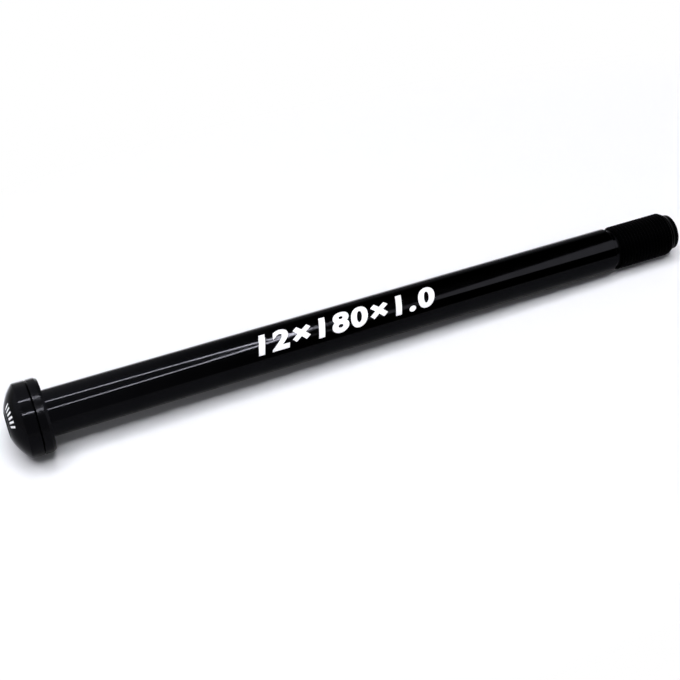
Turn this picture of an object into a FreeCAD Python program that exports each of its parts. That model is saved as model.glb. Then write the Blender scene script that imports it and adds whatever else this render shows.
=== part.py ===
import FreeCAD, Part
import math
import os

import Sketcher

# Bicycle thru axle, lying along X: domed head at -X, threaded end at +X.
# The origin is on the axis, in the plane where the washer under the head meets the frame.

SIZES = [
    # plain shaft
    ("axle_length", 180.0),
    ("shaft_d", 12.0),
    # domed head
    ("head_d", 19.0),
    ("head_band", 3.25),
    ("dome_rise", 3.55),
    ("head_edge_break", 0.12),
    ("dome_edge_radius", 0.2),
    ("neck_d", 11.6),
    ("underhead_fillet", 0.6),
    # hex socket for the key
    ("hex_flats", 6.0),
    ("hex_depth", 9.0),
    ("socket_land", 0.12),
    # loose washer under the head, as wide as the head
    ("washer_thick", 2.8),
    ("washer_clearance", 0.08),
    ("washer_float", 0.05),
    ("washer_fillet_room", 0.2),
    ("washer_edge_break", 0.12),
    ("seat_chamfer_length", 0.78),
    ("seat_chamfer_depth", 0.46),
    # threaded end
    ("thread_d", 12.0),
    ("thread_length", 20.7),
    ("relief_width", 1.9),
    ("relief_d", 10.4),
    ("lead_length", 1.7),
    ("lead_small_d", 10.0),
    ("pilot_d", 9.7),
    ("pilot_length", 1.3),
    ("pilot_edge_break", 0.2),
    # drilled bore
    ("bore_d", 6.5),
    ("bore_depth", 165.0),
    ("bore_edge_break", 0.3),
    ("drill_point_angle", 118.0),
]

doc = FreeCAD.newDocument("thru_axle")
sheet = doc.addObject("Spreadsheet::Sheet", "Sizes")
value = {}
for row, (alias, number) in enumerate(SIZES, start=1):
    sheet.set(f"A{row}", alias)
    sheet.set(f"B{row}", str(number))
    sheet.setAlias(f"B{row}", alias)
    value[alias] = number
doc.recompute()


def cell(alias):
    return f"<<Sizes>>.{alias}"


def number_of(text):
    # The start value of a dimension, worked out from the same cells as its formula.
    probe = sheet.evalExpression(text.replace("<<Sizes>>.", ""))
    return float(getattr(probe, "Value", probe))


# Places along the axis, as formulas of the cells.
NECK_END = cell("washer_float")
HEAD_UNDER = f"-({cell('washer_thick')} + {cell('washer_float')})"
HEAD_CORNER = f"-({cell('washer_thick')} + {cell('washer_float')} + {cell('head_band')})"
HEAD_FRONT = (f"-({cell('washer_thick')} + {cell('washer_float')} + {cell('head_band')}"
              f" + {cell('dome_rise')})")
THREAD_START = f"({cell('axle_length')} - {cell('thread_length')})"
RELIEF_END = f"({cell('axle_length')} - {cell('thread_length')} + {cell('relief_width')})"
LEAD_START = f"({cell('axle_length')} - {cell('pilot_length')} - {cell('lead_length')})"
PILOT_START = f"({cell('axle_length')} - {cell('pilot_length')})"
TIP = cell("axle_length")

SHAFT_R = f"{cell('shaft_d')} / 2"
NECK_R = f"{cell('neck_d')} / 2"
HEAD_R = f"{cell('head_d')} / 2"
THREAD_R = f"{cell('thread_d')} / 2"
PILOT_R = f"{cell('pilot_d')} / 2"
RELIEF_R = f"{cell('relief_d')} / 2"
HEX_CORNER_R = f"{cell('hex_flats')} / sqrt(3)"
LAND_R = f"({cell('hex_flats')} / sqrt(3) + {cell('socket_land')})"
POINT_SLOPE = f"tan({cell('drill_point_angle')} * 1 deg / 2)"


def origin_plane(body, role):
    return next(item for item in body.Origin.OriginFeatures if item.Role == role)


def new_body(name):
    body = doc.addObject("PartDesign::Body", name)
    body.Label = name
    body.Placement = FreeCAD.Placement()
    return body


def new_sketch(body, name, role="XY_Plane"):
    sketch = body.newObject("Sketcher::SketchObject", name)
    sketch.AttachmentSupport = [(origin_plane(body, role), "")]
    sketch.MapMode = "FlatFace"
    return sketch


def dimension(sketch, kind, name, formula, *where):
    # A named dimension whose value follows the cells.
    index = sketch.addConstraint(Sketcher.Constraint(kind, *where, number_of(formula)))
    sketch.renameConstraint(index, name)
    sketch.setExpression(f"Constraints.{name}", formula)


def half_profile(sketch, corners, dome=None):
    """Closed half section over the axis. Each corner is (name, place formula, radius formula).
    dome is the index of the side that is an arc with its centre on the axis."""
    points = [FreeCAD.Vector(number_of(x), number_of(r), 0) for _, x, r in corners]
    count = len(points)
    for i in range(count):
        start, end = points[i], points[(i + 1) % count]
        if i != dome:
            sketch.addGeometry(Part.LineSegment(start, end), False)
            continue
        centre_x = (end.x ** 2 + end.y ** 2 - start.x ** 2 - start.y ** 2) / (2 * (end.x - start.x))
        radius = math.hypot(start.x - centre_x, start.y)
        circle = Part.Circle(FreeCAD.Vector(centre_x, 0, 0), FreeCAD.Vector(0, 0, 1), radius)
        sketch.addGeometry(Part.ArcOfCircle(circle, math.atan2(start.y, start.x - centre_x),
                                            math.atan2(end.y, end.x - centre_x)), False)
    for i in range(count):
        sketch.addConstraint(Sketcher.Constraint("Coincident", i, 2, (i + 1) % count, 1))
    if dome is not None:
        sketch.addConstraint(Sketcher.Constraint("PointOnObject", dome, 3, -1))
    for i, (name, x, r) in enumerate(corners):
        before = (i - 1) % count
        if before != dome and corners[before][1] == x:
            sketch.addConstraint(Sketcher.Constraint("Vertical", before))
        elif number_of(x) == 0:
            sketch.addConstraint(Sketcher.Constraint("PointOnObject", i, 1, -2))
        else:
            dimension(sketch, "DistanceX", f"{name}_x", x, -1, 1, i, 1)
        if r == "0":
            sketch.addConstraint(Sketcher.Constraint("PointOnObject", i, 1, -1))
        elif before != dome and corners[before][2] == r:
            sketch.addConstraint(Sketcher.Constraint("Horizontal", before))
        else:
            dimension(sketch, "DistanceY", f"{name}_r", r, -1, 1, i, 1)


def turned(body, kind, name, sketch):
    feature = body.newObject(kind, name)
    feature.Profile = sketch
    feature.ReferenceAxis = (sketch, ["H_Axis"])
    feature.Angle = 360.0
    doc.recompute()
    return feature


def rim_edges(feature, place, radius):
    """Names of the circular edges of a feature at a place along the axis and a radius."""
    names = []
    for i, edge in enumerate(feature.Shape.Edges, start=1):
        curve = edge.Curve
        if not isinstance(curve, Part.Circle):
            continue
        if abs(curve.Center.x - place) < 1e-4 and abs(curve.Radius - radius) < 1e-4:
            names.append(f"Edge{i}")
    if not names:
        raise RuntimeError(f"no rim at {place} with radius {radius}")
    return names


def dressed(body, kind, name, base, place, radius, **formulas):
    feature = body.newObject(kind, name)
    feature.Base = (base, rim_edges(base, number_of(place), number_of(radius)))
    for key, formula in formulas.items():
        feature.setExpression(key, formula)
    doc.recompute()
    return feature


# The axle: one turned bar with the head, a neck that the washer turns on, the shaft,
# the thread relief and the threaded end.
axle = new_body("axle")
outline = new_sketch(axle, "axle_outline")
half_profile(outline, [
    ("front_axis", HEAD_FRONT, "0"),
    ("tip_axis", TIP, "0"),
    ("tip_rim", TIP, PILOT_R),
    ("pilot_root", PILOT_START, PILOT_R),
    ("lead_small", PILOT_START, f"{cell('lead_small_d')} / 2"),
    ("lead_large", LEAD_START, THREAD_R),
    ("thread_root", RELIEF_END, THREAD_R),
    ("relief_end", RELIEF_END, RELIEF_R),
    ("relief_start", THREAD_START, RELIEF_R),
    ("shaft_end", THREAD_START, SHAFT_R),
    ("shaft_root", NECK_END, SHAFT_R),
    ("neck_end", NECK_END, NECK_R),
    ("neck_root", HEAD_UNDER, NECK_R),
    ("head_under", HEAD_UNDER, HEAD_R),
    ("head_corner", HEAD_CORNER, HEAD_R),
    ("front_land", HEAD_FRONT, LAND_R),
], dome=14)
blank = turned(axle, "PartDesign::Revolution", "turned_bar", outline)

# Bore drilled from the threaded end, with the drill's cone at its bottom and a broken mouth edge.
bore = new_sketch(axle, "bore_outline")
BORE_R = f"{cell('bore_d')} / 2"
BORE_END = f"({cell('axle_length')} - {cell('bore_depth')})"
half_profile(bore, [
    ("bore_point", f"({BORE_END} - {BORE_R} / {POINT_SLOPE})", "0"),
    ("bore_axis", TIP, "0"),
    ("bore_mouth", TIP, f"({BORE_R} + {cell('bore_edge_break')})"),
    ("bore_break", f"({TIP} - {cell('bore_edge_break')})", BORE_R),
    ("bore_floor", BORE_END, BORE_R),
])
bore_cut = turned(axle, "PartDesign::Groove", "drilled_bore", bore)

# Hex socket: drilled cone and lead-in first, then the hexagon itself.
drill = new_sketch(axle, "socket_drill_outline")
HEX_IN_R = f"{cell('hex_flats')} / 2"
SOCKET_FLOOR = f"({HEAD_FRONT} + {cell('hex_depth')})"
half_profile(drill, [
    ("socket_front", HEAD_FRONT, "0"),
    ("socket_point", f"({SOCKET_FLOOR} + {HEX_IN_R} / {POINT_SLOPE})", "0"),
    ("socket_floor", SOCKET_FLOOR, HEX_IN_R),
    ("socket_lead", f"({HEAD_FRONT} + {HEX_CORNER_R} - {HEX_IN_R})", HEX_IN_R),
    ("socket_mouth", HEAD_FRONT, HEX_CORNER_R),
])
drill_cut = turned(axle, "PartDesign::Groove", "socket_drilling", drill)

hexagon = new_sketch(axle, "socket_hexagon", "YZ_Plane")
hexagon.setExpression("AttachmentOffset.Base.z", HEAD_FRONT)
corner_r = number_of(HEX_CORNER_R)
corners = [FreeCAD.Vector(corner_r * math.cos(math.radians(60 * k)),
                          corner_r * math.sin(math.radians(60 * k)), 0) for k in range(6)]
for k in range(6):
    hexagon.addGeometry(Part.LineSegment(corners[k], corners[(k + 1) % 6]), False)
hexagon.addGeometry(Part.Circle(FreeCAD.Vector(0, 0, 0), FreeCAD.Vector(0, 0, 1), corner_r), True)
hexagon.addConstraint(Sketcher.Constraint("Coincident", 6, 3, -1, 1))
dimension(hexagon, "Radius", "corner_radius", HEX_CORNER_R, 6)
for k in range(6):
    hexagon.addConstraint(Sketcher.Constraint("Coincident", k, 2, (k + 1) % 6, 1))
    hexagon.addConstraint(Sketcher.Constraint("PointOnObject", k, 1, 6))
for k in range(5):
    hexagon.addConstraint(Sketcher.Constraint("Equal", k, k + 1))
hexagon.addConstraint(Sketcher.Constraint("Horizontal", 1))
doc.recompute()
before_socket = drill_cut.Shape.Volume
socket = axle.newObject("PartDesign::Pocket", "hex_socket")
socket.Profile = hexagon
socket.Reversed = True
socket.setExpression("Length", cell("hex_depth"))
doc.recompute()
if not socket.Shape.Volume < before_socket - 1.0:
    raise RuntimeError("the hex socket cut nothing")

# Broken and rounded rims of the head and the nose.
fillet = dressed(axle, "PartDesign::Fillet", "underhead_radius", socket, HEAD_UNDER, NECK_R,
                 Radius=cell("underhead_fillet"))
rim_break = dressed(axle, "PartDesign::Chamfer", "head_rim_break", fillet, HEAD_UNDER, HEAD_R,
                    Size=cell("head_edge_break"))
corner_round = dressed(axle, "PartDesign::Fillet", "dome_corner_radius", rim_break, HEAD_CORNER,
                       HEAD_R, Radius=cell("dome_edge_radius"))
nose_break = dressed(axle, "PartDesign::Chamfer", "nose_break", corner_round, TIP, PILOT_R,
                     Size=cell("pilot_edge_break"))

# The washer: a loose ring that sits between the head and the frame and turns on the shaft.
washer = new_body("head_washer")
ring = new_sketch(washer, "washer_outline")
WASHER_R = HEAD_R  # flush with the head
WASHER_BORE_R = f"({cell('shaft_d')} / 2 + {cell('washer_clearance')})"
WASHER_BACK = f"-{cell('washer_thick')}"
FILLET_ROOM = f"({cell('underhead_fillet')} + {cell('washer_fillet_room')})"
half_profile(ring, [
    ("bore_seat", "0", WASHER_BORE_R),
    ("seat_rim", "0", f"({WASHER_R} - {cell('seat_chamfer_depth')})"),
    ("seat_chamfer", f"-{cell('seat_chamfer_length')}", WASHER_R),
    ("back_rim", WASHER_BACK, WASHER_R),
    ("back_bore", WASHER_BACK, WASHER_BORE_R),
])
ring_blank = turned(washer, "PartDesign::Revolution", "turned_ring", ring)
ring_break = dressed(washer, "PartDesign::Chamfer", "back_rim_break", ring_blank, WASHER_BACK,
                     WASHER_R, Size=cell("washer_edge_break"))
ring_relief = dressed(washer, "PartDesign::Chamfer", "bore_fillet_relief", ring_break, WASHER_BACK,
                      WASHER_BORE_R, Size=FILLET_ROOM)

doc.recompute()
for item in doc.Objects:
    if "Invalid" in item.State or "Error" in item.State:
        raise RuntimeError(f"{item.Name} failed: {item.State}")
os.makedirs("parts", exist_ok=True)
for body in (axle, washer):
    if body.Shape.isNull() or not body.Shape.isValid() or len(body.Shape.Solids) != 1:
        raise RuntimeError(f"{body.Label} is not one sound solid")
for body in (axle, washer):
    body.Shape.exportStep(f"parts/{body.Label}.step")
    box = body.Shape.optimalBoundingBox()
    print(f"{body.Label}: volume {body.Shape.Volume:.2f} mm3, x {box.XMin:.3f}..{box.XMax:.3f},"
          f" y {box.YMin:.3f}..{box.YMax:.3f}, z {box.ZMin:.3f}..{box.ZMax:.3f}")
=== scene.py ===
# %% [markdown]
# # A bicycle thru axle
# The real part is a hollow black anodised aluminium bar that holds a wheel in its frame. It has two pieces:
# the axle, turned from one bar with a domed head at one end and a thread at the other, and a loose washer
# under the head. The CAD model gives both as exact solids, and it is loaded first as the fixed frame.
# Everything below is in metres in that same frame: the axle lies along X, with its head at minus X.

# %% Load the CAD frame
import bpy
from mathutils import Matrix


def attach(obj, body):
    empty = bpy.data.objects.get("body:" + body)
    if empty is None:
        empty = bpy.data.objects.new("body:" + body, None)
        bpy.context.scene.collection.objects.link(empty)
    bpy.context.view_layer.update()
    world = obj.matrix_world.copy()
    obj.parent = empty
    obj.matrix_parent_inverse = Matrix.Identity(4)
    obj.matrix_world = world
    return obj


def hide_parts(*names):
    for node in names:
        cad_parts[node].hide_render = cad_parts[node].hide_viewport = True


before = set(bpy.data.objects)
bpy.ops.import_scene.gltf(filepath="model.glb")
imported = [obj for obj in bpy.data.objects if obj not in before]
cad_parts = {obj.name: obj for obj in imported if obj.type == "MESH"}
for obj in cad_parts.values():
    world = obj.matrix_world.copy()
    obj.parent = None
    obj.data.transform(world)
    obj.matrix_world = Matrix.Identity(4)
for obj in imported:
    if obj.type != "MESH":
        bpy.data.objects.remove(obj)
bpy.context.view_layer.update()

# %% [markdown]
# ## The camera
# The photograph looks down on the lying axle from the head's side, so the axle runs up the picture to the
# right. A camera could be set by eye, but here its place, its aim and its lens come from fitting a pinhole
# camera to the axle's outline. It is level, so a place and an aim point are enough to turn it.

# %% Set the camera
import math

import bmesh
import bpy
from mathutils import Vector

CAMERA_PLACE = Vector((-0.02329, -0.23891, 0.24482))
CAMERA_AIM = Vector((0.08009, 0.00344, -0.00800))
SENSOR_WIDTH = 36.0
LENS = 72.04
SIGHT_END = 30.0

scene = bpy.context.scene
scene.view_settings.view_transform = "Standard"
camera = bpy.data.objects.new("camera", bpy.data.cameras.new("camera"))
camera.data.sensor_width = SENSOR_WIDTH
camera.data.lens = LENS
camera.data.clip_end = SIGHT_END
camera.location = CAMERA_PLACE
camera.rotation_euler = (CAMERA_AIM - CAMERA_PLACE).to_track_quat("-Z", "Y").to_euler()
scene.collection.objects.link(camera)
scene.camera = camera
print("camera stands", round((CAMERA_AIM - CAMERA_PLACE).length, 3), "m from its aim point")

# %% [markdown]
# ## Turned shapes as rings
# A lathe makes round shapes, and a mesh of rings is the same idea: each ring is a circle of points round
# the X axis, and quads join each ring to the next. Blender's Screw modifier does this too, but rings written
# in code may change their radius as they go round. That gives the hexagon of the key socket and the rising
# thread in the same mesh as the plain round parts, so the axle stays one piece, as the real one is.

# %% Join rings of points
MM = 0.001
STEPS = 192  # points in a ring, a multiple of 6 for the hexagon's corners
TURN = 2 * math.pi


def round_point(x, radius, angle):
    """A point in metres round the X axis, from mm. Angle 0 is on the camera's side, and angles go up."""
    return (x * MM, -radius * math.cos(angle) * MM, radius * math.sin(angle) * MM)


def ring_point(x, radius, step):
    """A point at one of the steps of a ring."""
    return round_point(x, radius, TURN * step / STEPS)


def join_rings(shape, rings):
    """Add rings to a bmesh, joined one to the next. A ring gives (x, radius) in mm for each step."""
    last = None
    for ring in rings:
        places = [ring(step) if callable(ring) else ring for step in range(STEPS)]
        row = [shape.verts.new(ring_point(x, radius, step)) for step, (x, radius) in enumerate(places)]
        if last:
            for step in range(STEPS):
                after = (step + 1) % STEPS
                shape.faces.new((last[step], last[after], row[after], row[step]))
        last = row


print("rings have", STEPS, "points")

# %% Make objects from a bmesh
CREASE = math.radians(35.0)
WELD = 1e-7
SLIVER = 1e-8


def new_object(name, shape):
    """Put a bmesh in the scene as one object."""
    mesh = bpy.data.meshes.new(name)
    shape.to_mesh(mesh)
    shape.free()
    thing = bpy.data.objects.new(name, mesh)
    scene.collection.objects.link(thing)
    return thing


def smooth_piece(name, shape):
    """An object whose faces look outward and are shaded smooth but for the creases."""
    bmesh.ops.recalc_face_normals(shape, faces=shape.faces)
    piece = new_object(name, shape)
    piece.data.shade_smooth()
    piece.data.set_sharp_from_angle(angle=CREASE)
    return piece


def turned_piece(name, shape):
    """A smooth piece from a bmesh of rings, welded where rings meet."""
    bmesh.ops.remove_doubles(shape, verts=shape.verts, dist=WELD)
    bmesh.ops.dissolve_degenerate(shape, edges=shape.edges, dist=SLIVER)
    return smooth_piece(name, shape)


print("edges sharper than", round(math.degrees(CREASE)), "degrees stay crisp")

# %% [markdown]
# ## Broken edges
# No real turned edge is a perfect corner: the tool leaves a tiny round that catches the light. Blender's
# Bevel modifier could add it, but on a profile it is simpler to round each corner before it is spun. Two
# holding points beside each round keep the flat faces next to it flat when the mesh is shaded smooth.

# %% Round the corners of a profile
EASE_STEPS = 4
HOLD = 2  # a holding point stands this many eases from its corner, on sides at least twice as long


def eased(corners):
    """Points of a profile whose corners (x, radius, ease) are rounded from that far before and after."""
    points = []
    for i, (x, radius, ease) in enumerate(corners):
        here = Vector((x, radius))
        if ease == 0 or i in (0, len(corners) - 1):
            points.append(here)
            continue
        before = Vector(corners[i - 1][:2]) - here
        after = Vector(corners[i + 1][:2]) - here
        start = here + before.normalized() * ease
        end = here + after.normalized() * ease
        if before.length > 2 * HOLD * ease:
            points.append(here + before.normalized() * ease * HOLD)
        for k in range(EASE_STEPS + 1):
            t = k / EASE_STEPS
            points.append(start * (1 - t) ** 2 + here * 2 * t * (1 - t) + end * t ** 2)
        if after.length > 2 * HOLD * ease:
            points.append(here + after.normalized() * ease * HOLD)
    return [(p.x, p.y) for p in points]


square = eased([(0, 0, 0), (1, 0, 0.1), (1, 1, 0)])
print("one eased corner has", len(square) - 2, "points")

# %% [markdown]
# ## The key socket
# The head is driven with a 6 mm hex key. A broached socket has a cone at its mouth, six flats and a drilled
# point at its bottom. A boolean cut would do it, but its leftover faces shade badly on the dome, so the
# hexagon is a ring whose radius follows six straight sides. The mouth's cone meets the flats in scallops.

# %% Shape the socket
HEAD_FRONT = -9.65
KEY_HALF = 3.0
KEY_CORNER = KEY_HALF / math.cos(math.pi / 6)
SOCKET_FLOOR = -0.65
SOCKET_POINT = 1.153
MOUTH_RADIUS = 3.52
DRILL_STEP = 0.002  # the drilled cone ends this far inside the flats
RIM_HOLD = 0.05
MOUTH_EASE = 0.03


def key_radius(step):
    """Distance from the axis to the hexagon's side. Two of its flats face up and down."""
    across = (TURN * step / STEPS) % (math.pi / 3) - math.pi / 6
    return KEY_HALF / math.cos(across)


def key_rim(step):
    """Where the mouth's cone meets the hexagon."""
    radius = key_radius(step)
    return (HEAD_FRONT + MOUTH_RADIUS - radius, radius)


socket_rings = [
    (SOCKET_POINT, 0.0),
    (SOCKET_FLOOR, KEY_HALF - DRILL_STEP),
    lambda step: (SOCKET_FLOOR, key_radius(step)),
    lambda step: (key_rim(step)[0] + RIM_HOLD, key_radius(step)),
    key_rim,
    (HEAD_FRONT + MOUTH_EASE, MOUTH_RADIUS - MOUTH_EASE),
]
print("key socket is", round(2 * KEY_CORNER, 2), "mm over corners,", SOCKET_FLOOR - HEAD_FRONT, "mm deep")

# %% [markdown]
# ## The head and the shaft
# From the socket's mouth the profile runs over the dome, down the head's straight band, under the head to a
# neck that the washer turns on, and along the plain shaft to the groove that clears the thread. A sphere cut
# flat could be the dome, but it would need joining. Here it is an arc of the same profile with its centre on
# the axis, because a lathe tool swings it as part of a ball.

# %% Draw the dome
LAND_RADIUS = 3.584
HEAD_RADIUS = 9.5
DOME_CORNER = -6.1
DOME_STEPS = 28
# The ball's centre is as far from the edge of the front land as from the dome's corner
DOME_CENTRE = ((DOME_CORNER ** 2 + HEAD_RADIUS ** 2 - HEAD_FRONT ** 2 - LAND_RADIUS ** 2)
               / (2 * (DOME_CORNER - HEAD_FRONT)))
DOME_BALL = math.hypot(HEAD_FRONT - DOME_CENTRE, LAND_RADIUS)


def dome_arc():
    """Corners of the dome from the front land to the last one before the band."""
    low = math.asin(LAND_RADIUS / DOME_BALL)
    high = math.asin(HEAD_RADIUS / DOME_BALL)
    slopes = [low + (high - low) * k / DOME_STEPS for k in range(DOME_STEPS)]
    return [(DOME_CENTRE - DOME_BALL * math.cos(a), DOME_BALL * math.sin(a), 0) for a in slopes]


print("dome is part of a ball of radius", round(DOME_BALL, 2), "mm")

# %% Draw the profile from the dome to the relief groove
DOME_EASE = 0.09
HEAD_UNDER = -2.85
RIM_BREAK = 0.24  # twice the solid's break, so that the joint with the washer shows
BREAK_EASE = 0.04
NECK_RADIUS = 5.8
NECK_END = 0.05
UNDERHEAD_FILLET = 0.6
SHAFT_RADIUS = 6.0
SHAFT_RINGS = range(10, 160, 10)
SHAFT_EASE = 0.12
THREAD_ZONE = 159.3
RELIEF_RADIUS = 5.2
RELIEF_EASE = 0.2
THREAD_START = 161.2
RELIEF_WALL_EASE = 0.15
RELIEF_WALL_TOP = 5.37  # just under the root of the thread, which starts from this wall
front_corners = (
    [(HEAD_FRONT, MOUTH_RADIUS, 0)]
    + dome_arc()
    + [
        (DOME_CORNER, HEAD_RADIUS, DOME_EASE),
        (HEAD_UNDER - RIM_BREAK, HEAD_RADIUS, BREAK_EASE),
        (HEAD_UNDER, HEAD_RADIUS - RIM_BREAK, BREAK_EASE),
        (HEAD_UNDER, NECK_RADIUS, UNDERHEAD_FILLET),
        (NECK_END, NECK_RADIUS, 0),
        (NECK_END, SHAFT_RADIUS, 0),
    ]
    + [(x, SHAFT_RADIUS, 0) for x in SHAFT_RINGS]
    + [
        (THREAD_ZONE, SHAFT_RADIUS, SHAFT_EASE),
        (THREAD_ZONE, RELIEF_RADIUS, RELIEF_EASE),
        (THREAD_START, RELIEF_RADIUS, RELIEF_WALL_EASE),
        (THREAD_START, RELIEF_WALL_TOP, 0),
    ]
)
front_rings = eased(front_corners)
print("head and shaft profile has", len(front_rings), "rings")

# %% [markdown]
# ## The thread
# The far end screws into the frame: a fine right-hand M12 thread with a 1 mm pitch and 60 degree flanks. A
# Screw modifier makes a thread as a loose strip with untidy ends. Here the rows of points follow the helix,
# so the crests stay crisp, and rows that would run past either end are held at that end. The lead cone then
# cuts the last turns down, as a turning tool does before the die or the thread tool passes.

# %% Shape the thread
PITCH = 1.0
CREST_RADIUS = 6.0
ROOT_RADIUS = 5.387
GROOVE_START = 160.25  # where the middle of the groove passes the far side, opposite step 0
LEAD_START = 177.0
LEAD_END = 178.7
LEAD_SMALL = 5.0
# One turn from the middle of the groove to its next pass, as (share of the pitch, share of the depth)
TURN_FORM = [
    (0.0, 1.0), (0.065, 1.0), (0.1, 0.953), (0.26, 0.501), (0.42, 0.049), (0.455, 0.0),
    (0.545, 0.0), (0.58, 0.049), (0.74, 0.501), (0.9, 0.953), (0.935, 1.0), (1.0, 1.0),
]


def thread_depth(share):
    """Depth below the crest at a share of the pitch past the middle of the groove."""
    share = share % 1.0
    for (a, deep_a), (b, deep_b) in zip(TURN_FORM, TURN_FORM[1:]):
        if a <= share <= b:
            return (deep_a + (deep_b - deep_a) * (share - a) / (b - a)) * (CREST_RADIUS - ROOT_RADIUS)


def thread_radius(x, step):
    """Radius of the threaded end at a place along the axis and a step round it."""
    turned = CREST_RADIUS
    if x > LEAD_START:
        turned -= (CREST_RADIUS - LEAD_SMALL) * (x - LEAD_START) / (LEAD_END - LEAD_START)
    cut = CREST_RADIUS - thread_depth((x - GROOVE_START) / PITCH - 0.5 + step / STEPS)
    return min(turned, cut)


def add_thread(shape):
    """Rows of points along the helix, held at the two ends of the thread and joined with quads."""
    turns = math.ceil((LEAD_END - GROOVE_START) / PITCH + 0.5)
    shares = [turn + share for turn in range(turns) for share, _ in TURN_FORM[:-1]] + [turns]
    last = None
    for share in shares:
        row = []
        for step in range(STEPS + 1):
            x = GROOVE_START + PITCH * (share + 0.5 - step / STEPS)
            x = min(max(x, THREAD_START), LEAD_END)
            row.append(shape.verts.new(ring_point(x, thread_radius(x, step), step)))
        if last:
            for step in range(STEPS):
                shape.faces.new((last[step], last[step + 1], row[step + 1], row[step]))
        last = row
    return len(shares)


print("thread has", round((LEAD_END - THREAD_START) / PITCH, 1), "turns")

# %% [markdown]
# ## The nose and the bore
# A plain nose in front of the thread finds the hole in the frame. The bar is drilled from this end to save
# weight, so the nose ends in a thin wall with a broken edge inside, and the drill's point closes the bore
# well short of the key socket. A boolean could cut the bore, but the profile only has to turn back inside.

# %% Draw the nose and the bore
NOSE_STEP = 4.95
NOSE_RADIUS = 4.85
TIP = 180.0
TIP_BREAK = 0.2
BORE_RADIUS = 3.25
BORE_BREAK = 0.3
BORE_FLOOR = 15.0
BORE_POINT = 13.05
NOSE_EASE = 0.05
BORE_EASE = 0.2
nose_rings = eased([
    (LEAD_END, NOSE_STEP, 0),
    (LEAD_END, NOSE_RADIUS, NOSE_EASE),
    (TIP - TIP_BREAK, NOSE_RADIUS, NOSE_EASE),
    (TIP, NOSE_RADIUS - TIP_BREAK, NOSE_EASE),
    (TIP, BORE_RADIUS + BORE_BREAK, NOSE_EASE),
    (TIP - BORE_BREAK, BORE_RADIUS, NOSE_EASE),
    (BORE_FLOOR, BORE_RADIUS, BORE_EASE),
    (BORE_POINT, 0.0, 0),
])
print("nose and bore profile has", len(nose_rings), "rings")

# %% Build the axle
axle_shape = bmesh.new()
thread_foot = [lambda step: (THREAD_START, thread_radius(THREAD_START, step))]
join_rings(axle_shape, socket_rings + front_rings + thread_foot)
thread_rows = add_thread(axle_shape)
thread_end = [lambda step: (LEAD_END, thread_radius(LEAD_END, step))]
join_rings(axle_shape, thread_end + nose_rings)
axle = turned_piece("turned_axle", axle_shape)
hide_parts("axle")
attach(axle, "axle")
print("axle has", len(axle.data.polygons), "faces, and its thread", thread_rows, "rows")

# %% [markdown]
# ## The washer
# The loose ring under the head stays still against the frame while the axle turns inside it. It is a turned
# ring too: broken at the back rim, with a long chamfer on the seat side and a deep one inside, which clears
# the fillet under the head. A cylinder with a hole would need each of these edges bevelled afterwards. Here
# the profile is a closed loop, so the last ring meets the first.

# %% Build the washer
WASHER_BACK = -2.8
WASHER_BORE = 6.08
WASHER_EASE = 0.05
FILLET_ROOM = 0.8
BACK_BREAK = 0.18
SEAT_MIDDLE = 7.5
SEAT_CHAMFER_LENGTH = 0.78
SEAT_CHAMFER_DEPTH = 0.46
washer_loop = [
    (0.0, SEAT_MIDDLE, 0),
    (0.0, WASHER_BORE, WASHER_EASE),
    (WASHER_BACK + FILLET_ROOM, WASHER_BORE, WASHER_EASE),
    (WASHER_BACK, WASHER_BORE + FILLET_ROOM, WASHER_EASE),
    (WASHER_BACK, HEAD_RADIUS - BACK_BREAK, BREAK_EASE),
    (WASHER_BACK + BACK_BREAK, HEAD_RADIUS, BREAK_EASE),
    (-SEAT_CHAMFER_LENGTH, HEAD_RADIUS, WASHER_EASE),
    (0.0, HEAD_RADIUS - SEAT_CHAMFER_DEPTH, WASHER_EASE),
    (0.0, SEAT_MIDDLE, 0),
]
washer_shape = bmesh.new()
join_rings(washer_shape, eased(washer_loop))
washer = turned_piece("turned_washer", washer_shape)
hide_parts("head_washer")
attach(washer, "washer")
print("washer has", len(washer.data.polygons), "faces")

# %% [markdown]
# ## Ink as a thin film
# White print on metal is a film of ink with a thickness of its own. A texture could show it, but here each
# print is a mesh that starts as a flat sheet of faces. The sheet is laid on the round surface twice, a hair
# under the metal and a hair above it, and walls join the two sides along every open edge. So the print is a
# closed solid and can be exported. Blender's Extrude does this too, but it may order the walls in another
# way on each run.

# %% Turn a flat sheet into a print
INK_TOP = 0.012
INK_SINK = 0.003
SHEET_WELD = 1e-5


def print_sheet(name, sheet, place):
    """Make a flat bmesh a closed film, lay its points with place(x, y, height) and add it as one piece."""
    bmesh.ops.remove_doubles(sheet, verts=sheet.verts, dist=SHEET_WELD)
    sheet.verts.index_update()
    film = bmesh.new()
    under = [film.verts.new(place(vert.co.x, vert.co.y, -INK_SINK)) for vert in sheet.verts]
    top = [film.verts.new(place(vert.co.x, vert.co.y, INK_TOP)) for vert in sheet.verts]
    for face in sheet.faces:
        film.faces.new([top[vert.index] for vert in face.verts])
        film.faces.new([under[vert.index] for vert in reversed(face.verts[:])])
    for edge in sheet.edges:
        if edge.is_boundary:
            a, b = [vert.index for vert in edge.verts]
            film.faces.new((under[a], under[b], top[b], top[a]))
    sheet.free()
    piece = smooth_piece(name, film)
    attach(piece, "axle")
    return piece


print("ink stands", INK_TOP, "mm above the metal")

# %% [markdown]
# ## Printed size numbers
# An axle like this carries a bold white pad print on its shaft. Here the print gives plain size numbers in
# millimetres: the diameter, the length and the pitch. Drawing each figure by hand is possible, but Blender's
# text gives them flat and ready, to be made bolder, wider and leaning. They are then cut into narrow strips,
# so that they can bend round the shaft without showing corners.

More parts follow.
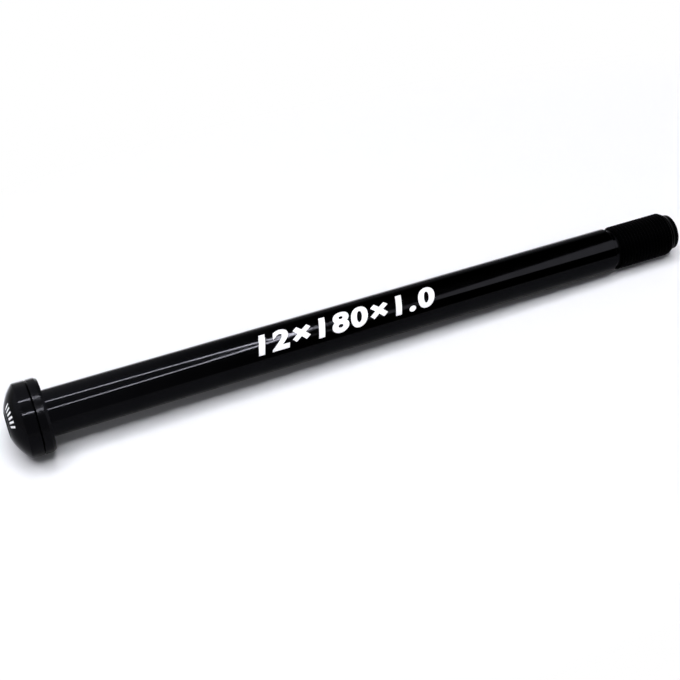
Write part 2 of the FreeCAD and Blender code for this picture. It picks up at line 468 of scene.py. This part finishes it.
# %% Draw flat numbers
NUMBERS = "12\u00d7180\u00d71.0"
PRINT_HEIGHT = 5.5
PRINT_BOLDNESS = 0.045
PRINT_SPACING = 1.17
PRINT_WIDTH = 1.29
PRINT_LEAN = 0.3
CURVE_STEPS = 6


def flat_numbers():
    """A flat bmesh of the numbers in mm, with their middle at the origin."""
    words = bpy.data.curves.new("size_numbers", "FONT")
    words.body = NUMBERS
    words.offset = PRINT_BOLDNESS
    words.resolution_u = CURVE_STEPS
    words.space_character = PRINT_SPACING
    holder = bpy.data.objects.new("size_numbers", words)
    scene.collection.objects.link(holder)
    bpy.context.view_layer.update()
    flat = bpy.data.meshes.new_from_object(holder)
    bpy.data.objects.remove(holder)
    bpy.data.curves.remove(words)
    sheet = bmesh.new()
    sheet.from_mesh(flat)
    bpy.data.meshes.remove(flat)
    low = Vector([min(v.co[i] for v in sheet.verts) for i in range(3)])
    high = Vector([max(v.co[i] for v in sheet.verts) for i in range(3)])
    size = PRINT_HEIGHT / (high.y - low.y)
    for vert in sheet.verts:
        vert.co = (vert.co - (low + high) / 2) * size
        vert.co.x = vert.co.x * PRINT_WIDTH + vert.co.y * PRINT_LEAN
    return sheet


numbers = flat_numbers()
number_length = 2 * max(v.co.x for v in numbers.verts)
print("numbers are", round(number_length, 1), "mm long and", PRINT_HEIGHT, "mm high")

# %% Print the numbers on the shaft
STRIP = 0.2
PRINT_MIDDLE = 79.7
PRINT_RISE = math.radians(60.0)


def cut_in_strips(sheet, width):
    """Cut a flat sheet along lines of equal height, then into triangles."""
    top = max(v.co.y for v in sheet.verts)
    line = -top + width
    while line < top:
        parts = sheet.verts[:] + sheet.edges[:] + sheet.faces[:]
        bmesh.ops.bisect_plane(sheet, geom=parts, plane_co=(0, line, 0), plane_no=(0, 1, 0), dist=SHEET_WELD)
        line += width
    bmesh.ops.triangulate(sheet, faces=sheet.faces)


def on_shaft(x, y, height):
    """A point of the print on the shaft: y runs round it."""
    return round_point(PRINT_MIDDLE + x, SHAFT_RADIUS + height, PRINT_RISE + y / SHAFT_RADIUS)


cut_in_strips(numbers, STRIP)
number_print = print_sheet("printed_numbers", numbers, on_shaft)
print(number_print.name, "has", len(number_print.data.polygons), "faces")

# %% [markdown]
# ## Index ticks on the dome
# A few white ticks on the dome show at a glance whether the axle has turned since it was tightened. They
# could be small boxes sunk in the dome. But the flat sheet serves again: it holds each point as a distance
# from the axis and an angle round it, which suits the dome's ball.

# %% Print the ticks on the dome
TICK_COUNT = 6
TICK_SPREAD = math.radians(11.0)
TICK_RISE = math.radians(65.0)
TICK_WIDTH = 0.55
TICK_INNER = 5.0
TICK_OUTER = 6.8
TICK_ROWS = 6
TICK_SIDES = (-1, 0, 1)


def on_dome(radius, rise, height):
    """A point of the print on the dome, at a distance from the axis and an angle round it."""
    x = DOME_CENTRE - math.sqrt((DOME_BALL + height) ** 2 - radius ** 2)
    return round_point(x, radius, rise)


def add_tick(sheet, middle):
    """Add the faces of one tick, as wide in mm at its outer end as at its inner end."""
    last = None
    for k in range(TICK_ROWS + 1):
        radius = TICK_INNER + (TICK_OUTER - TICK_INNER) * k / TICK_ROWS
        lean = TICK_WIDTH / 2 / radius
        row = [sheet.verts.new((radius, middle + side * lean, 0.0)) for side in TICK_SIDES]
        if last:
            for a, b, c, d in zip(last, last[1:], row[1:], row):
                sheet.faces.new((a, b, c, d))
        last = row


ticks = bmesh.new()
for number in range(TICK_COUNT):
    add_tick(ticks, TICK_RISE + (number - (TICK_COUNT - 1) / 2) * TICK_SPREAD)
tick_print = print_sheet("index_ticks", ticks, on_dome)
print(TICK_COUNT, "ticks on the dome with", len(tick_print.data.polygons), "faces")

# %% [markdown]
# ## Nodes in a few words
# Blender's materials are graphs of nodes. Adding and linking each node by hand makes long code, so a few
# helpers do the parts that come back: a new material, a node with its settings, a range, a sum, a blend and
# a noise. Where a helper takes a value, it also takes another node's socket, and links it.

# %% Write the node helpers
def start_material(name):
    """A new node material: the material, its node tree and its shader."""
    material = bpy.data.materials.new(name)
    material.use_nodes = True
    tree = material.node_tree
    return material, tree, tree.nodes["Principled BSDF"]


def add_node(tree, kind, **settings):
    """Add a node and set its properties."""
    node = tree.nodes.new(kind)
    for key, setting in settings.items():
        setattr(node, key, setting)
    return node


def feed(tree, socket, source):
    """Link a socket to the source if that is another node's socket, or else set it to that value."""
    if isinstance(source, bpy.types.NodeSocket):
        tree.links.new(source, socket)
    else:
        socket.default_value = source


def set_range(tree, source, low, high, to_low, to_high):
    """A Map Range node on a source socket, clamped."""
    node = add_node(tree, "ShaderNodeMapRange", clamp=True)
    feed(tree, node.inputs["Value"], source)
    feed(tree, node.inputs["From Min"], low)
    feed(tree, node.inputs["From Max"], high)
    feed(tree, node.inputs["To Min"], to_low)
    feed(tree, node.inputs["To Max"], to_high)
    return node.outputs["Result"]


def add_math(tree, operation, first, second):
    """A Math node on two sockets or numbers."""
    node = add_node(tree, "ShaderNodeMath", operation=operation)
    feed(tree, node.inputs[0], first)
    feed(tree, node.inputs[1], second)
    return node.outputs["Value"]


def add_blend(tree, factor, first, second):
    """A Mix node between two colours, each a value or a socket."""
    node = add_node(tree, "ShaderNodeMix", data_type="RGBA")
    colours = [socket for socket in node.inputs if socket.type == "RGBA"]
    feed(tree, node.inputs["Factor"], factor)
    feed(tree, colours[0], first)
    feed(tree, colours[1], second)
    return next(socket for socket in node.outputs if socket.type == "RGBA")


def add_noise(tree, vector, scale, detail, roughness=0.5):
    """A noise texture on a vector socket."""
    node = add_node(tree, "ShaderNodeTexNoise")
    feed(tree, node.inputs["Vector"], vector)
    feed(tree, node.inputs["Scale"], scale)
    feed(tree, node.inputs["Detail"], detail)
    feed(tree, node.inputs["Roughness"], roughness)
    return node.outputs["Fac"]


print("node helpers are ready")

# %% [markdown]
# ## Black anodised aluminium
# Anodising grows a dyed glassy skin on the metal: almost black, a little blue, and as shiny as the metal
# below was polished. A coated plastic shader would mirror too much. So this is a metallic shader with a very
# dark colour, and a grey edge tint keeps its rims from turning into mirrors. Noise along X alone gives the
# fine rings that a lathe leaves, and coarser noise makes the shine uneven, as handling does. The thread is
# duller, and its colour is painted far darker, as painted shade.

# %% Make the anodised finish
DYE_SCALE = 160.0
DYE_DETAIL = 4.0
DYE_SPAN = (0.35, 0.65)
SMUDGE_SCALE = 420.0
SMUDGE_DETAIL = 5.0
SMUDGE_ROUGHNESS = 0.6
SMUDGE_SPAN = (0.3, 0.7)
SMUDGE_SHINIER = 0.015
SMUDGE_DULLER = 0.025
LATHE_SCALE = 7000.0
LATHE_DETAIL = 3.0
EDGE_TINT = (0.58, 0.58, 0.58, 1.0)
# Painted shade: the thread's colour, far darker than the rest of the axle
THREAD_PAINTED_SHADE = (0.0006, 0.0006, 0.0007, 1.0)
THREAD_ROUGHNESS = 0.5
THREAD_DULL_AND_SHADE = (THREAD_START - 1.0, THREAD_START - 0.4)  # the duller finish and the painted shade set in here, inside the groove


def lathe_rings(tree, along, depth):
    """A bump that changes along the axis alone, like the marks of a lathe tool."""
    rings = add_node(tree, "ShaderNodeTexNoise", noise_dimensions="1D")
    feed(tree, rings.inputs["W"], along)
    feed(tree, rings.inputs["Scale"], LATHE_SCALE)
    feed(tree, rings.inputs["Detail"], LATHE_DETAIL)
    bump = add_node(tree, "ShaderNodeBump")
    feed(tree, bump.inputs["Strength"], 1.0)
    feed(tree, bump.inputs["Distance"], depth)
    feed(tree, bump.inputs["Height"], rings.outputs["Fac"])
    return bump.outputs["Normal"]


def anodised(name, dark, light, roughness, ring_depth, threaded=False):
    """Black anodised skin between two close colours, with lathe rings and a shine that varies. If threaded,
    the thread gets painted shade, a far darker colour, and a duller shine.
    """
    material, tree, shader = start_material(name)
    place = add_node(tree, "ShaderNodeTexCoord").outputs["Object"]
    parts = add_node(tree, "ShaderNodeSeparateXYZ")
    feed(tree, parts.inputs["Vector"], place)
    along = parts.outputs["X"]

    # Dye that took a little unevenly
    dye = set_range(tree, add_noise(tree, place, DYE_SCALE, DYE_DETAIL), *DYE_SPAN, 0.0, 1.0)
    skin = add_blend(tree, dye, dark, light)

    # Shine: even at a glance, with faint smudges close up
    smudge = add_noise(tree, place, SMUDGE_SCALE, SMUDGE_DETAIL, SMUDGE_ROUGHNESS)
    shine = set_range(tree, smudge, *SMUDGE_SPAN, roughness - SMUDGE_SHINIER, roughness + SMUDGE_DULLER)

    if threaded:
        # Painted shade on the thread: its colour is blended to a far darker one, and its roughness to a
        # duller one
        dull_shaded_thread = set_range(tree, along, THREAD_DULL_AND_SHADE[0] * MM, THREAD_DULL_AND_SHADE[1] * MM, 0.0, 1.0)
        skin = add_blend(tree, dull_shaded_thread, skin, THREAD_PAINTED_SHADE)
        shine = set_range(tree, dull_shaded_thread, 0.0, 1.0, shine, THREAD_ROUGHNESS)

    feed(tree, shader.inputs["Base Color"], skin)
    feed(tree, shader.inputs["Roughness"], shine)
    feed(tree, shader.inputs["Normal"], lathe_rings(tree, along, ring_depth))
    feed(tree, shader.inputs["Metallic"], 1.0)
    feed(tree, shader.inputs["Specular Tint"], EDGE_TINT)
    return material


# Where the thread's painted shade and duller shine begin
print("the dull dye of the thread sets in at", round(THREAD_DULL_AND_SHADE[0], 2), "mm")

# %% Finish the axle and the washer
AXLE_DARK = (0.0042, 0.0042, 0.0049, 1.0)
AXLE_LIGHT = (0.0050, 0.0050, 0.0058, 1.0)
AXLE_ROUGHNESS = 0.09
AXLE_RING_DEPTH = 1.0e-7
WASHER_DARK = (0.0048, 0.0048, 0.0055, 1.0)
WASHER_LIGHT = (0.0060, 0.0060, 0.0068, 1.0)
WASHER_ROUGHNESS = 0.185
WASHER_RING_DEPTH = 2.0e-7
axle_black = anodised("polished_black_anodised", AXLE_DARK, AXLE_LIGHT, AXLE_ROUGHNESS, AXLE_RING_DEPTH,
                      threaded=True)
washer_black = anodised("satin_black_anodised", WASHER_DARK, WASHER_LIGHT, WASHER_ROUGHNESS,
                        WASHER_RING_DEPTH)
axle.data.materials.append(axle_black)
washer.data.materials.append(washer_black)
print("finishes:", axle_black.name, "and", washer_black.name)

# %% [markdown]
# ## White ink
# Pad printing lays a matt white film, a little thin in places. One flat white would look like a sticker, so
# two close whites are mixed by fine noise, and the roughness follows the same noise.

# %% Make the ink
INK_SCALE = 1800.0
INK_DETAIL = 4.0
INK_SPAN = (0.3, 0.7)
INK_THIN = (0.88, 0.88, 0.88, 1.0)
INK_FULL = (0.94, 0.94, 0.94, 1.0)
INK_ROUGHNESS = (0.5, 0.4)
ink, ink_tree, ink_shader = start_material("white_pad_print")
ink_place = add_node(ink_tree, "ShaderNodeTexCoord").outputs["Object"]
ink_cover = set_range(ink_tree, add_noise(ink_tree, ink_place, INK_SCALE, INK_DETAIL), *INK_SPAN, 0.0, 1.0)
feed(ink_tree, ink_shader.inputs["Base Color"], add_blend(ink_tree, ink_cover, INK_THIN, INK_FULL))
feed(ink_tree, ink_shader.inputs["Roughness"], set_range(ink_tree, ink_cover, 0.0, 1.0, *INK_ROUGHNESS))
for printed in (number_print, tick_print):
    printed.data.materials.append(ink)
print("ink on", number_print.name, "and", tick_print.name)

# %% [markdown]
# ## The table
# The axle rests on its washer's rim and on the thread, which is thinner, so it lies a little nose down. The
# parts stay in the CAD frame here, so the table is tilted to meet them instead, by about one degree. It is
# plain white near the axle, where it takes the shadow. Past an oval round the axle it is kept white, for the
# camera and for reflections, by a light of its own.

# %% Lay the table
REST_HEAD = Vector((-0.00078, 0.0, -0.0095))
REST_THREAD = Vector((0.1770, 0.0, -0.0060))
TABLE_SIZE = 12.0
TABLE_POINTS = 96
slope = math.atan2(REST_THREAD.z - REST_HEAD.z, REST_THREAD.x - REST_HEAD.x)
table_shape = bmesh.new()
bmesh.ops.create_circle(table_shape, cap_ends=True, segments=TABLE_POINTS, radius=TABLE_SIZE)
table = new_object("table", table_shape)
table.location = REST_HEAD
table.rotation_euler = (0.0, -slope, 0.0)
print("table leans", round(math.degrees(slope), 2), "degrees")

# %% Paint the table
TABLE_WHITE = (0.95, 0.95, 0.95, 1.0)
TABLE_ROUGHNESS = 0.9
OVAL_SCALE = (0.45, 1.0, 0.0)
OVAL_SHIFT = (-0.038, 0.0, 0.0)
CLEAR_FROM = 0.06
CLEAR_TO = 0.11
white, white_tree, white_shader = start_material("white_table")
feed(white_tree, white_shader.inputs["Base Color"], TABLE_WHITE)
feed(white_tree, white_shader.inputs["Roughness"], TABLE_ROUGHNESS)
feed(white_tree, white_shader.inputs["Specular IOR Level"], 0.0)

oval = add_node(white_tree, "ShaderNodeVectorMath", operation="MULTIPLY_ADD")
feed(white_tree, oval.inputs[0], add_node(white_tree, "ShaderNodeTexCoord").outputs["Object"])
feed(white_tree, oval.inputs[1], OVAL_SCALE)
feed(white_tree, oval.inputs[2], OVAL_SHIFT)
reach = add_node(white_tree, "ShaderNodeVectorMath", operation="LENGTH")
feed(white_tree, reach.inputs[0], oval.outputs["Vector"])
far_away = set_range(white_tree, reach.outputs["Value"], CLEAR_FROM, CLEAR_TO, 0.0, 1.0)

ray = add_node(white_tree, "ShaderNodeLightPath")
seen = add_math(white_tree, "MAXIMUM", ray.outputs["Is Camera Ray"], ray.outputs["Is Glossy Ray"])
seen = add_math(white_tree, "MAXIMUM", seen, ray.outputs["Is Transmission Ray"])
clear_white = add_node(white_tree, "ShaderNodeEmission")
both = add_node(white_tree, "ShaderNodeMixShader")
feed(white_tree, both.inputs[0], add_math(white_tree, "MULTIPLY", far_away, seen))
feed(white_tree, both.inputs[1], white_shader.outputs["BSDF"])
feed(white_tree, both.inputs[2], clear_white.outputs["Emission"])
feed(white_tree, white_tree.nodes["Material Output"].inputs["Surface"], both.outputs["Shader"])
table.data.materials.append(white)
print("table paint:", white.name)

# %% [markdown]
# ## The light
# The two thin bright lines along the head and the shaft, which draw together, are what a ring lamp overhead
# leaves on a polished bar. Blender has no ring lamp, so it is built as two flat rings that glow: a thin
# tube, and a wide white reflector beside it, which gives the soft shadow. On metal this black the tube has
# to be far brighter than the table could stand. So Ray Visibility lets the tube only show in the metal, and
# lets the reflector only light the scene.

# %% Hang the ring lamp
RING_PLACE = Vector((-0.107, -0.181, 1.2))
RING_POINTS = 128
TUBE_EDGES = (0.480, 0.500)
TUBE_GLOW = 265.0
REFLECTOR_EDGES = (0.28, 0.46)
REFLECTOR_GLOW = 13.7
COOL_WHITE = (0.94, 0.945, 1.0, 1.0)
PLAIN_WHITE = (1.0, 1.0, 1.0, 1.0)
BLACK = (0.0, 0.0, 0.0, 1.0)


def glowing_ring(name, edges, colour, glow, mirrored):
    """A flat ring between two radii that glows, either for matt surfaces or for reflections."""
    shape = bmesh.new()
    rim = []
    for k in range(RING_POINTS):
        angle = TURN * k / RING_POINTS
        spoke = [(edge * math.cos(angle), edge * math.sin(angle), 0.0) for edge in edges]
        rim.append([shape.verts.new(point) for point in spoke])
    for here, after in zip(rim, rim[1:] + rim[:1]):
        shape.faces.new((here[0], after[0], after[1], here[1]))
    lamp = new_object(name, shape)
    lamp.location = RING_PLACE
    lamp.visible_camera = False
    lamp.visible_shadow = False
    lamp.visible_diffuse = not mirrored
    lamp.visible_glossy = mirrored
    material, tree, shader = start_material(name)
    feed(tree, shader.inputs["Base Color"], BLACK)
    feed(tree, shader.inputs["Emission Color"], colour)
    feed(tree, shader.inputs["Emission Strength"], glow)
    lamp.data.materials.append(material)
    return lamp


reflector = glowing_ring("ring_reflector", REFLECTOR_EDGES, COOL_WHITE, REFLECTOR_GLOW, mirrored=False)
tube = glowing_ring("ring_tube", TUBE_EDGES, PLAIN_WHITE, TUBE_GLOW, mirrored=True)
print(reflector.name, "and", tube.name, "hang", RING_PLACE.z, "m up")

# %% [markdown]
# ## What the metal mirrors
# Polished black metal shows little but reflections. The broad dim band near the thread is a large soft panel
# off to the right, which only shows in reflections. The room is pale to the left, behind the table and at
# the far right, and dark between them and overhead. A picture of a room could be wrapped round the scene,
# but a few soft steps of the direction do as well. The Light Path node keeps those walls for reflections,
# shows plain white to a camera that looks past the table, and leaves a low even fill, so the shadow stays
# deep.

# %% Hang the soft panel
PANEL_PLACE = Vector((0.982, -0.660, 1.2))
PANEL_TURN = math.radians(-18.5)
PANEL_SIZE = (0.718, 1.23)
PANEL_MIRRORED = 4.4
panel_data = bpy.data.lights.new("soft_panel", "AREA")
panel_data.shape = "RECTANGLE"
panel_data.size, panel_data.size_y = PANEL_SIZE
panel_data.energy = PANEL_MIRRORED * math.pi * PANEL_SIZE[0] * PANEL_SIZE[1]
panel = bpy.data.objects.new("soft_panel", panel_data)
panel.location = PANEL_PLACE
panel.rotation_euler = (0.0, 0.0, PANEL_TURN)
panel.visible_diffuse = False
scene.collection.objects.link(panel)
print("panel shows as", PANEL_MIRRORED, "times white")

# %% Paint the room
ROOM_TINT = (0.97, 0.98, 1.04, 1.0)
ROOM_FILL = 0.19
LEFT_FRONT = 0.7
LEFT_BACK = 1.6
LEFT_TURN = (-0.3, 0.3)  # from front to back, in the direction's Y
LEFT_END = (0.08, 0.26)  # where the left ends, in the direction's X
WALL = 1.0
WALL_TOP = (0.12, 0.5)  # where the wall behind the table ends, in the direction's Z
WALL_START = (0.0, 0.2)  # where it begins, in the direction's Y
FAR_RIGHT = 1.6
RIGHT_START = (0.62, 0.8)  # where the far right begins, in the direction's X
room = bpy.data.worlds.new("room")
scene.world = room
room.use_nodes = True
room_tree = room.node_tree
toward = add_node(room_tree, "ShaderNodeSeparateXYZ")
feed(room_tree, toward.inputs["Vector"], add_node(room_tree, "ShaderNodeTexCoord").outputs["Generated"])
along, across, up = toward.outputs
left_side = set_range(room_tree, across, *LEFT_TURN, LEFT_FRONT, LEFT_BACK)
left = add_math(room_tree, "MULTIPLY", left_side, set_range(room_tree, along, *LEFT_END, 1.0, 0.0))
wall_height = set_range(room_tree, up, *WALL_TOP, WALL, 0.0)
wall = add_math(room_tree, "MULTIPLY", wall_height, set_range(room_tree, across, *WALL_START, 0.0, 1.0))
right = set_range(room_tree, along, *RIGHT_START, 0.0, FAR_RIGHT)
mirrored_room = add_math(room_tree, "MAXIMUM", left, add_math(room_tree, "MAXIMUM", wall, right))

room_ray = add_node(room_tree, "ShaderNodeLightPath")
room_glow = set_range(room_tree, room_ray.outputs["Is Glossy Ray"], 0.0, 1.0, ROOM_FILL, mirrored_room)
room_seen = add_math(room_tree, "MAXIMUM", room_ray.outputs["Is Camera Ray"],
                     room_ray.outputs["Is Transmission Ray"])
room_glow = set_range(room_tree, room_seen, 0.0, 1.0, room_glow, 1.0)
room_shader = room_tree.nodes["Background"]
feed(room_tree, room_shader.inputs["Color"], ROOM_TINT)
feed(room_tree, room_shader.inputs["Strength"], room_glow)
print("room fill", ROOM_FILL)
